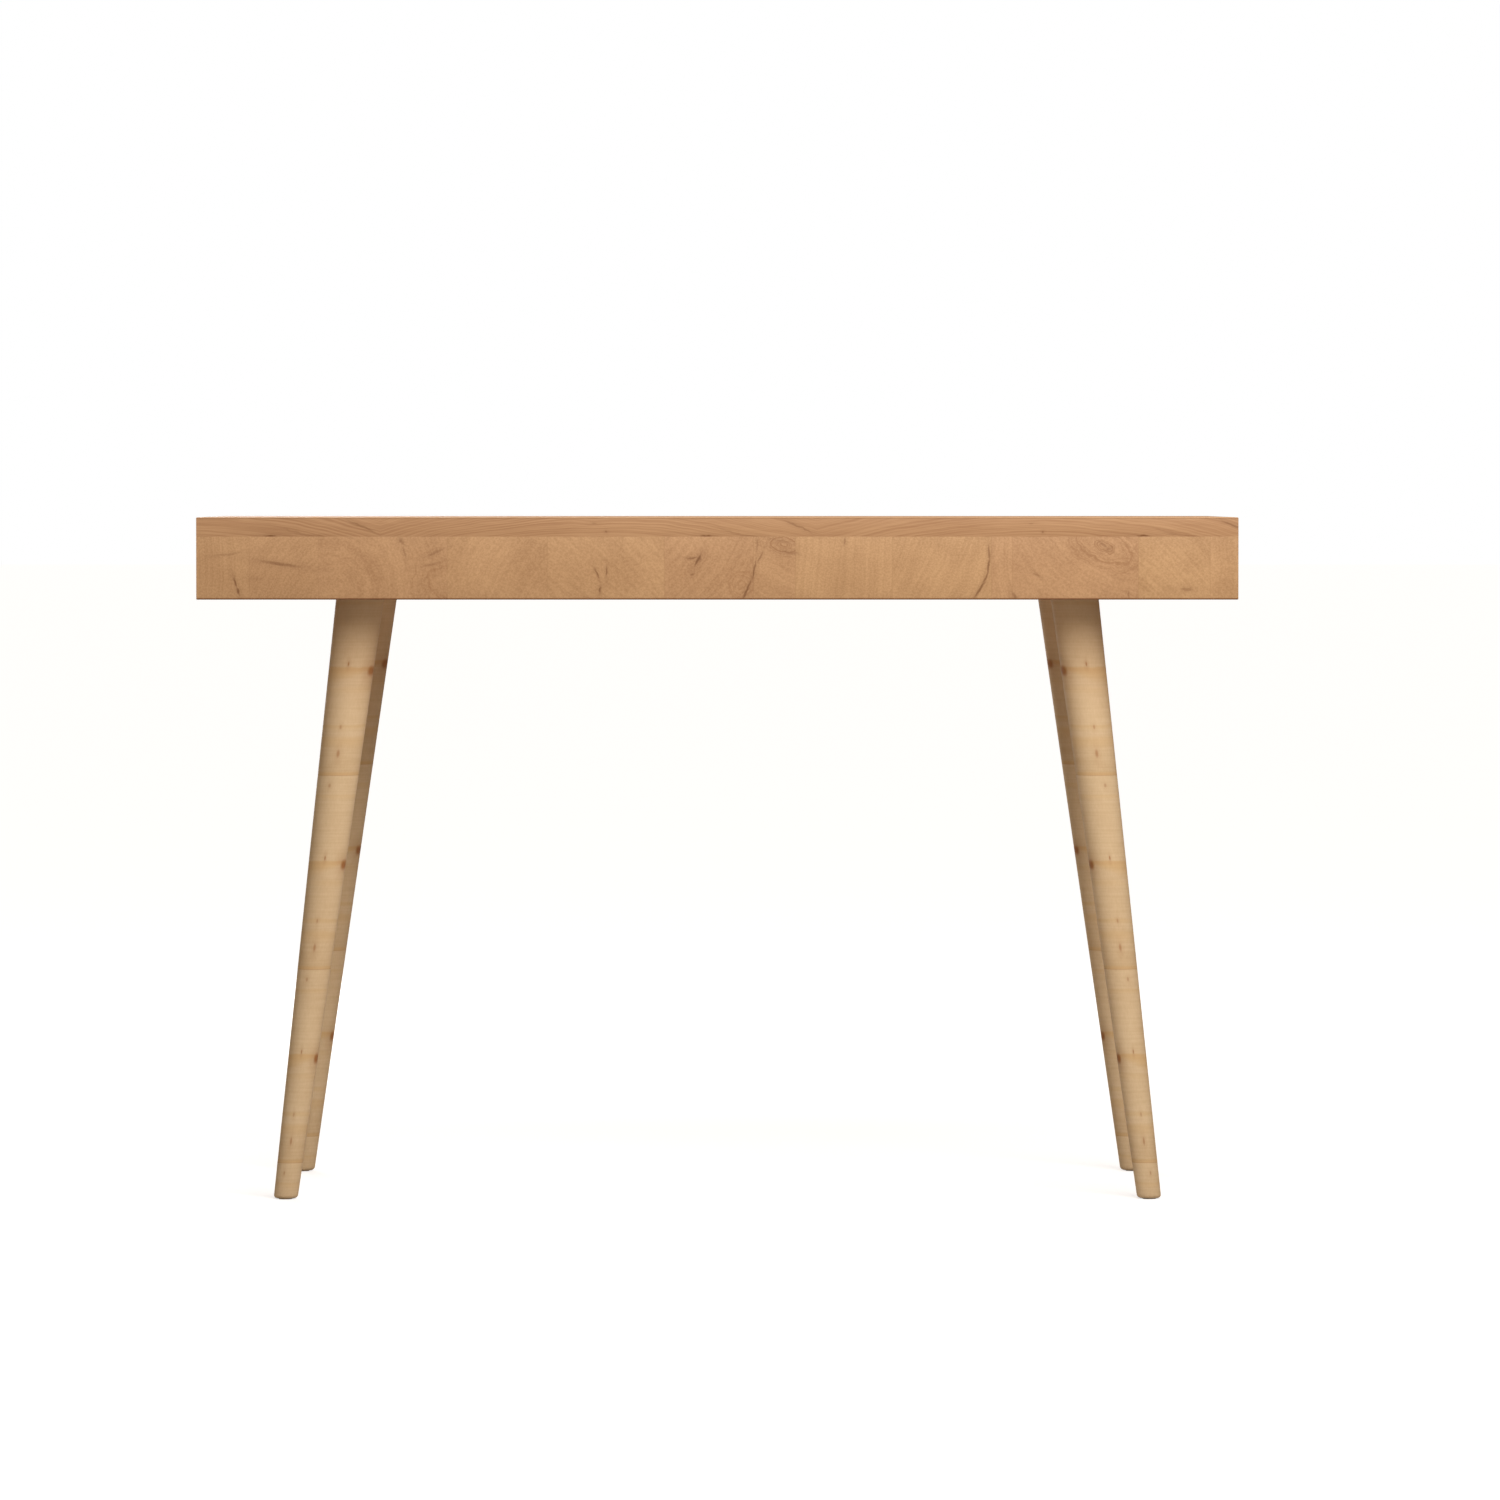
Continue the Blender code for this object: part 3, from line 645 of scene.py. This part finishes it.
def make_zinc_material():
    """Zinc plate: cloudy, with fine scratches from the press and a trace of yellow passivation."""
    graph = Graph("zinc_plated_steel")
    place = graph.place()
    cloud = graph.noise(graph.vector("MULTIPLY", place, (160, 160, 160)), detail=4)
    scratch = graph.noise(graph.vector("MULTIPLY", place, (90, 2400, 2400)), detail=2)
    colour = graph.blend(graph.remap(cloud, 0.3, 0.7), *ZINC_COLOURS)
    graph.put(graph.shader.inputs["Base Color"], colour)
    graph.shader.inputs["Metallic"].default_value = 1.0
    cloudy = graph.remap(cloud, 0.3, 0.7, 0.26, 0.40)
    rough = graph.math("ADD", cloudy, graph.math("MULTIPLY", scratch, 0.10))
    graph.put(graph.shader.inputs["Roughness"], rough)
    graph.put(graph.shader.inputs["Normal"], graph.bump(scratch, 0.10, SCRATCH_DEPTH))
    return graph.material


def make_nylon_material():
    """Moulded nylon: faintly mottled and scuffed where it slides."""
    graph = Graph("nylon")
    place = graph.place()
    mottle = graph.noise(place, scale=420.0, detail=3)
    scuff = graph.noise(graph.vector("MULTIPLY", place, (1800, 260, 900)), detail=2)
    colour = graph.blend(graph.remap(mottle, 0.3, 0.7), *NYLON_COLOURS)
    graph.put(graph.shader.inputs["Base Color"], colour)
    graph.put(graph.shader.inputs["Roughness"], graph.remap(scuff, 0.3, 0.7, 0.42, 0.66))
    graph.put(graph.shader.inputs["Normal"], graph.bump(scuff, 0.2, SCRATCH_DEPTH))
    return graph.material


# ---------------------------------------------------------------------------------------------
# Geometry
# ---------------------------------------------------------------------------------------------


def finish_piece(obj, material, node):
    """Gives a new piece its material and its body, and hides the CAD node that it stands for."""
    if not obj.data.materials:
        obj.data.materials.append(material)
    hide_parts(node)
    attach(obj, "root")


def new_object(name, bm):
    mesh = bpy.data.meshes.new(name)
    bm.to_mesh(mesh)
    bm.free()
    obj = bpy.data.objects.new(name, mesh)
    bpy.context.scene.collection.objects.link(obj)
    return obj


def add_ring(bm, radii, z):
    """Corners at equal angles round Z, one for each radius."""
    ring = []
    for k, radius in enumerate(radii):
        angle = math.tau * k / len(radii)
        ring.append(bm.verts.new((radius * math.cos(angle), radius * math.sin(angle), z)))
    return ring


def bridge(bm, first, second):
    """A strip of faces between two rings that have as many corners."""
    for i in range(len(first)):
        j = (i + 1) % len(first)
        bm.faces.new((first[i], first[j], second[j], second[i]))


def corner_arc(centre, radius, start):
    """Points of a quarter circle that starts at `start` degrees."""
    points = []
    for i in range(ARC_STEPS + 1):
        angle = math.radians(start + 90 * i / ARC_STEPS)
        points.append((centre[0] + radius * math.cos(angle), centre[1] + radius * math.sin(angle)))
    return points


def eased_section(low, high, eases):
    """A rectangle in (v, z) with eased corners, from the lower left one, counter-clockwise."""
    corners = [
        (low[0], low[1], 180), (high[0], low[1], 270), (high[0], high[1], 0), (low[0], high[1], 90)
    ]
    signs = [(1, 1), (-1, 1), (-1, -1), (1, -1)]
    points = []
    for (v, z, start), (sign_v, sign_z), ease in zip(corners, signs, eases):
        centre = (v + sign_v * ease, z + sign_z * ease)
        points += corner_arc(centre, ease, start)
    return points


def add_prism(bm, layers, section, ends, to_world, log_at, seed, tone):
    """One glued piece: a section in (v, z) swept from ends[0](v) to ends[1](v) along u.

    The layers keep, for the wood figure, each corner's place in the piece's own log, and its share
    of the piece's length.
    """
    log_layer, glue_layer = layers
    length = ends[1](0.0) - ends[0](0.0)
    rings = []
    for end in ends:
        ring = []
        for v, z in section:
            vertex = bm.verts.new(to_world(end(v), v, z))
            vertex[log_layer] = log_at(end(v), v, z) + Vector((0, 0, seed))
            vertex[glue_layer] = Vector(((end(v) - ends[0](0.0)) / length, length, tone))
            ring.append(vertex)
        rings.append(ring)
    start, stop = rings
    bridge(bm, stop, start)
    bm.faces.new(start)
    bm.faces.new(list(reversed(stop)))


def new_glued_mesh():
    bm = bmesh.new()
    log_layer = bm.verts.layers.float_vector.new("log")
    glue_layer = bm.verts.layers.float_vector.new("glue")
    return bm, (log_layer, glue_layer)


def smooth_round_corners(obj):
    obj.data.shade_smooth()
    obj.data.set_sharp_from_angle(angle=SHARP_ANGLE)


# Blocks of the front edge: where each one ends, in metres from the middle
FRONT_JOINTS = [
    -0.5476, -0.4668, -0.3159, -0.1989, -0.0620, 0.0421,
    0.0913, 0.2047, 0.3206, 0.3452, 0.4926, 0.5768,
]
# For each front block: its tone from 0 dark to 1 light, and its pith's place from its lower left corner
FRONT_BLOCKS = [
    (0.62, (-0.40, 0.02)),
    (0.52, (0.35, -0.20)),
    (0.44, (0.012, 0.006)),
    (0.60, (0.55, -0.25)),
    (0.66, (-0.30, -0.34)),
    (0.40, (-0.20, 0.22)),
    (0.48, (0.10, 0.20)),
    (0.72, (-0.42, 0.08)),
    (0.74, (-0.34, 0.20)),
    (0.40, (0.30, 0.05)),
    (0.34, (0.19, 0.20)),
    (0.78, (-0.25, -0.25)),
    (0.70, (-0.22, 0.03)),
]


# Blocks of the other aprons: how long they are, and the shortest that may end a row
BLOCK_LENGTHS = (0.055, 0.135)
LAST_BLOCK = 0.05


def random_blocks(length, source):
    """Joints and block data for an apron that is seen only from other sides."""
    joints = []
    place = -length / 2
    while True:
        place += source.uniform(*BLOCK_LENGTHS)
        if place > length / 2 - LAST_BLOCK:
            break
        joints.append(place)
    blocks = []
    for _ in range(len(joints) + 1):
        pith = (source.uniform(-0.35, 0.35), source.uniform(-0.3, 0.3))
        blocks.append((source.uniform(0.3, 0.8), pith))
    return joints, blocks


def build_apron(name, length, joints, blocks, to_world, material):
    """A rail of glued blocks, mitred at both ends, with its lower edges eased."""
    bm, layers = new_glued_mesh()
    section = eased_section((0.0, APRON_LOW.z), (APRON_THICKNESS, PANEL_LOW.z), APRON_EASES)
    half = length / 2
    stops = [-half, *joints, half]
    for index, (tone, pith) in enumerate(blocks):
        low, high = stops[index], stops[index + 1]
        mitre_low = 1.0 if index == 0 else 0.0
        mitre_high = 1.0 if index == len(blocks) - 1 else 0.0
        ends = (
            lambda v, low=low, cut=mitre_low: low + cut * v,
            lambda v, high=high, cut=mitre_high: high - cut * v,
        )

        def log_at(u, v, z, low=low, pith=pith):
            return Vector((u - low - pith[0], z - APRON_LOW.z - pith[1], v))

        add_prism(bm, layers, section, ends, to_world, log_at, seed=0.37 * index, tone=tone)
    bmesh.ops.recalc_face_normals(bm, faces=bm.faces)
    obj = new_object(name, bm)
    smooth_round_corners(obj)
    finish_piece(obj, material, name.replace("_blocks", ""))


def build_aprons(material):
    half_width, half_depth = WIDTH / 2, DEPTH / 2
    build_apron(
        "front_apron_blocks", WIDTH, FRONT_JOINTS, FRONT_BLOCKS,
        lambda u, v, z: (u, v - half_depth, z), material,
    )
    others = {
        "back": (WIDTH, lambda u, v, z: (-u, half_depth - v, z)),
        "left": (DEPTH, lambda u, v, z: (v - half_width, -u, z)),
        "right": (DEPTH, lambda u, v, z: (half_width - v, u, z)),
    }
    source = random.Random(12)
    for side, (length, to_world) in others.items():
        joints, blocks = random_blocks(length, source)
        build_apron(f"{side}_apron_blocks", length, joints, blocks, to_world, material)


def build_top(edge_material, face_material):
    """The panel: full-length boards, edge-glued, the outer upper edges eased."""
    bm, layers = new_glued_mesh()
    source = random.Random(5)
    widths = [source.uniform(0.85, 1.15) for _ in range(TOP_BOARD_COUNT)]
    scale = DEPTH / sum(widths)
    y = -DEPTH / 2
    half = WIDTH / 2
    for index, share in enumerate(widths):
        low, high = y, y + share * scale
        y = high
        ease_low = PANEL_EASE if index == 0 else GLUED_EASE
        ease_high = PANEL_EASE if index == TOP_BOARD_COUNT - 1 else GLUED_EASE
        eases = (GLUED_EASE, GLUED_EASE, ease_high, ease_low)
        section = eased_section((low, PANEL_LOW.z), (high, PANEL_HIGH.z), eases)
        pith = (source.uniform(-0.04, 0.04), source.choice((-1, 1)) * source.uniform(0.03, 0.09))
        tone = source.uniform(0.25, 0.85)
        centre = (low + high) / 2

        def log_at(u, v, z, centre=centre, pith=pith):
            return Vector((v - centre - pith[0], z - PANEL_LOW.z - pith[1], u))

        add_board(bm, layers, section, half, log_at, seed=1.7 * index, tone=tone, span=(low, high))
    bmesh.ops.recalc_face_normals(bm, faces=bm.faces)
    for face in bm.faces:
        face.material_index = 1 if abs(face.normal.z) > 0.5 else 0
    obj = new_object("top_boards", bm)
    obj.data.materials.append(edge_material)
    obj.data.materials.append(face_material)
    smooth_round_corners(obj)
    finish_piece(obj, edge_material, "top_panel")


def add_board(bm, layers, section, half, log_at, seed, tone, span):
    """A board along X with eased upper ends. Its glued edges are its long sides, so its share runs
    across its width."""
    log_layer, glue_layer = layers
    low, high = span
    stations = []
    for step in range(ARC_STEPS + 1):
        angle = math.pi / 2 * step / ARC_STEPS
        inset = PANEL_EASE * (1 - math.sin(angle))
        drop = PANEL_EASE * (1 - math.cos(angle))
        stations.append((half - drop, inset))
    stations = [(-u, inset) for u, inset in stations] + list(reversed(stations))
    rings = []
    for u, inset in stations:
        ring = []
        for v, z in section:
            lowered = min(z, PANEL_HIGH.z - inset)
            vertex = bm.verts.new((u, v, lowered))
            vertex[log_layer] = log_at(u, v, lowered) + Vector((0, 0, seed))
            share = (v - low) / (high - low)
            vertex[glue_layer] = Vector((share, high - low, tone))
            ring.append(vertex)
        rings.append(ring)
    for start, stop in zip(rings, rings[1:]):
        bridge(bm, stop, start)
    bm.faces.new(rings[0])
    bm.faces.new(list(reversed(rings[-1])))


def build_leg(name, signs, material):
    """A turned leg made upright and then leaned out, cut level at the floor, its foot eased."""
    x_sign, y_sign = signs
    bm = bmesh.new()
    low, high = -LEG_OVERRUN, LEG_TOP_RISE
    rings = []
    for step in range(LEG_RINGS + 1):
        z = low + (high - low) * step / LEG_RINGS
        rings.append(add_ring(bm, [LEG_FOOT_RADIUS + LEG_TAPER * z] * LEG_SEGMENTS, z))
    for lower, upper in zip(rings, rings[1:]):
        bridge(bm, lower, upper)
    bm.faces.new(list(reversed(rings[0])))
    bm.faces.new(rings[-1])

    lean = Matrix.Rotation(-x_sign * LEG_SPLAY, 4, "Y")
    place = Matrix.Translation((x_sign * LEG_FOOT_X, y_sign * LEG_Y, 0.0)) @ lean
    floor_point = place.inverted() @ Vector((x_sign * LEG_FOOT_X, y_sign * LEG_Y, FOOT_CUT))
    floor_normal = lean.to_3x3().inverted() @ Vector((0, 0, 1))
    geometry = list(bm.verts) + list(bm.edges) + list(bm.faces)
    cut = bmesh.ops.bisect_plane(
        bm, geom=geometry, plane_co=floor_point, plane_no=floor_normal, clear_inner=True
    )
    rim = [item for item in cut["geom_cut"] if isinstance(item, bmesh.types.BMEdge)]
    bmesh.ops.contextual_create(bm, geom=rim)
    bmesh.ops.recalc_face_normals(bm, faces=bm.faces)
    bmesh.ops.bevel(bm, geom=rim, offset=FOOT_EASE, segments=6, profile=0.5, affect="EDGES")
    top_rim = [e for e in bm.edges if all(v.co.z > high - 1e-5 for v in e.verts)]
    bmesh.ops.bevel(
        bm, geom=top_rim, offset=LEG_TOP_EASE, segments=3, profile=0.5, affect="EDGES"
    )
    upright = bm.verts.layers.float_vector.new("upright")
    for vertex in bm.verts:
        vertex[upright] = vertex.co
    bmesh.ops.transform(bm, matrix=place, verts=bm.verts)
    leg = new_object(f"turned_{name}", bm)
    smooth_round_corners(leg)
    finish_piece(leg, material, name)


def screw_profile(size):
    """Radius and height of each ring of a wood screw, head down at 0: head, shank, core and point."""
    head_radius, head_height, shank_radius, length = size
    core = SCREW_CORE * shank_radius
    return [
        (head_radius, 0.00005),
        (head_radius, 0.0004),
        (shank_radius, head_height),
        (shank_radius, 0.35 * length),
        (core, 0.37 * length),
        (core, length - SCREW_POINT),
        (0.0002, length),
    ]


def screw_mesh(name, size):
    """A wood screw with a plain shank, head down, and a cross recess sunk into its head."""
    head_radius, head_height, _, _ = size
    bm = bmesh.new()
    rings = [add_ring(bm, [radius] * SCREW_SEGMENTS, z) for radius, z in screw_profile(size)]
    for lower, upper in zip(rings, rings[1:]):
        bridge(bm, lower, upper)
    bm.faces.new(rings[-1])

    # An almost flat face inside the rim, with the cross sunk into the middle of it
    arms = [abs(math.cos(2 * math.tau * k / SCREW_SEGMENTS)) ** 3 for k in range(SCREW_SEGMENTS)]
    reaches = [head_radius * (RECESS_MIDDLE + RECESS_ARMS * arm) for arm in arms]
    flat = add_ring(bm, [SCREW_FLAT * head_radius] * SCREW_SEGMENTS, 0.0)
    cross = add_ring(bm, reaches, 0.0)
    floor = add_ring(bm, [0.55 * reach for reach in reaches], 0.75 * head_height)
    for outer, inner in ((rings[0], flat), (flat, cross), (cross, floor)):
        bridge(bm, inner, outer)
    bm.faces.new(list(reversed(floor)))
    bmesh.ops.recalc_face_normals(bm, faces=bm.faces)
    mesh = bpy.data.meshes.new(name)
    bm.to_mesh(mesh)
    bm.free()
    mesh.shade_smooth()
    mesh.set_sharp_from_angle(angle=SHARP_ANGLE)
    return mesh


def build_screws(material):
    meshes = {
        "plate_screw": screw_mesh("plate_screw_mesh", PLATE_SCREW),
        "bearer_screw": screw_mesh("bearer_screw_mesh", BEARER_SCREW),
    }
    for mesh in meshes.values():
        mesh.materials.append(material)
    source = random.Random(3)
    for node in sorted(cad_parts):
        kind = next((k for k in meshes if node.startswith(k)), None)
        if kind is None:
            continue
        low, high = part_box(node)
        obj = bpy.data.objects.new(f"cross_{node}", meshes[kind])
        bpy.context.scene.collection.objects.link(obj)
        obj.location = ((low.x + high.x) / 2, (low.y + high.y) / 2, low.z)
        obj.rotation_euler.z = source.uniform(0, math.tau)
        finish_piece(obj, material, node)


def dress_cad_nodes(inner_long, inner_cross, zinc, nylon):
    """The pieces underneath keep their CAD shape, with eased edges and a proper finish."""
    for name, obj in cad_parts.items():
        if obj.hide_render:
            continue
        if "bearer" in name:
            material, ease = inner_long, BEARER_EASE
        elif "block" in name or "spline" in name:
            material, ease = inner_cross, BLOCK_EASE
        elif "glide" in name:
            material, ease = nylon, GLIDE_EASE
        else:
            material, ease = zinc, PLATE_EASE
        obj.data.materials.clear()
        obj.data.materials.append(material)
        bevel = obj.modifiers.new("eased_edges", "BEVEL")
        bevel.width = ease
        bevel.segments = 2
        bevel.limit_method = "ANGLE"
        bevel.angle_limit = BEVEL_ANGLE


# ---------------------------------------------------------------------------------------------
# Stage
# ---------------------------------------------------------------------------------------------


def build_floor():
    """A white floor that runs to the horizon and shows only the table's soft shadow.

    Its glow, which only the camera sees, is weaker near the table so that the shadow shows there.
    """
    bm = bmesh.new()
    bmesh.ops.create_grid(bm, x_segments=1, y_segments=1, size=90.0)
    floor = new_object("studio_floor", bm)
    graph = Graph("studio_floor")
    place = graph.place()
    mottle = graph.noise(place, scale=1.5, detail=2)
    colour = graph.blend(mottle, *FLOOR_COLOURS)
    graph.put(graph.shader.inputs["Base Color"], colour)
    graph.shader.inputs["Roughness"].default_value = 0.9
    graph.shader.inputs["Specular IOR Level"].default_value = 0.1
    graph.shader.inputs["Emission Color"].default_value = (1.0, 1.0, 1.0, 1.0)
    seen = graph.node("ShaderNodeLightPath", {}).outputs["Is Camera Ray"]
    glow = graph.remap(graph.vector("LENGTH", place), *FLOOR_GLOW_REACH, *FLOOR_GLOW)
    graph.put(graph.shader.inputs["Emission Strength"], graph.math("MULTIPLY", seen, glow))
    floor.data.materials.append(graph.material)


def add_area_light(name, location, target, size, power):
    data = bpy.data.lights.new(name, "AREA")
    data.shape = "DISK"
    data.size = size
    data.energy = power
    light = bpy.data.objects.new(name, data)
    bpy.context.scene.collection.objects.link(light)
    light.location = location
    aim = Vector(target) - Vector(location)
    light.rotation_euler = aim.to_track_quat("-Z", "Y").to_euler()


def build_world():
    """White where the camera sees it, and a dimmer, warm, even light on the table."""
    world = bpy.data.worlds.new("studio")
    world.use_nodes = True
    nodes, links = world.node_tree.nodes, world.node_tree.links
    seen = nodes.new("ShaderNodeLightPath").outputs["Is Camera Ray"]
    colour = nodes.new("ShaderNodeMix")
    colour.data_type = "RGBA"
    colour.inputs[6].default_value = (*SKY_LIGHT, 1.0)
    colour.inputs[7].default_value = (1.0, 1.0, 1.0, 1.0)
    links.new(seen, colour.inputs[0])
    links.new(colour.outputs[2], nodes["Background"].inputs["Color"])
    bpy.context.scene.world = world


def build_stage():
    build_floor()
    build_world()
    for name, settings in LIGHTS.items():
        add_area_light(name, *settings)
    bpy.context.scene.view_settings.view_transform = "Standard"


def build_camera():
    """Straight on from the front, just above the top, tilted down and turned a hair to the right."""
    data = bpy.data.cameras.new("camera")
    data.lens = CAMERA_LENS
    data.sensor_width = 36.0
    data.clip_end = 200.0
    camera = bpy.data.objects.new("camera", data)
    bpy.context.scene.collection.objects.link(camera)
    camera.location = CAMERA_PLACE
    camera.rotation_euler = (math.pi / 2 - CAMERA_TILT, 0.0, -CAMERA_TURN)
    bpy.context.scene.camera = camera


def main():
    build_top(make_strip_material(), make_face_material())
    build_aprons(make_block_material())
    leg_materials = {"left": make_leg_material(-1), "right": make_leg_material(1)}
    for side, x_sign in SIDES.items():
        for end, y_sign in ENDS.items():
            build_leg(f"leg_{end}_{side}", (x_sign, y_sign), leg_materials[side])
    zinc = make_zinc_material()
    build_screws(zinc)
    dress_cad_nodes(
        make_inner_material("maple_inner_long", "y"), make_inner_material("maple_inner_cross", "x"),
        zinc, make_nylon_material(),
    )
    build_stage()
    build_camera()


main()
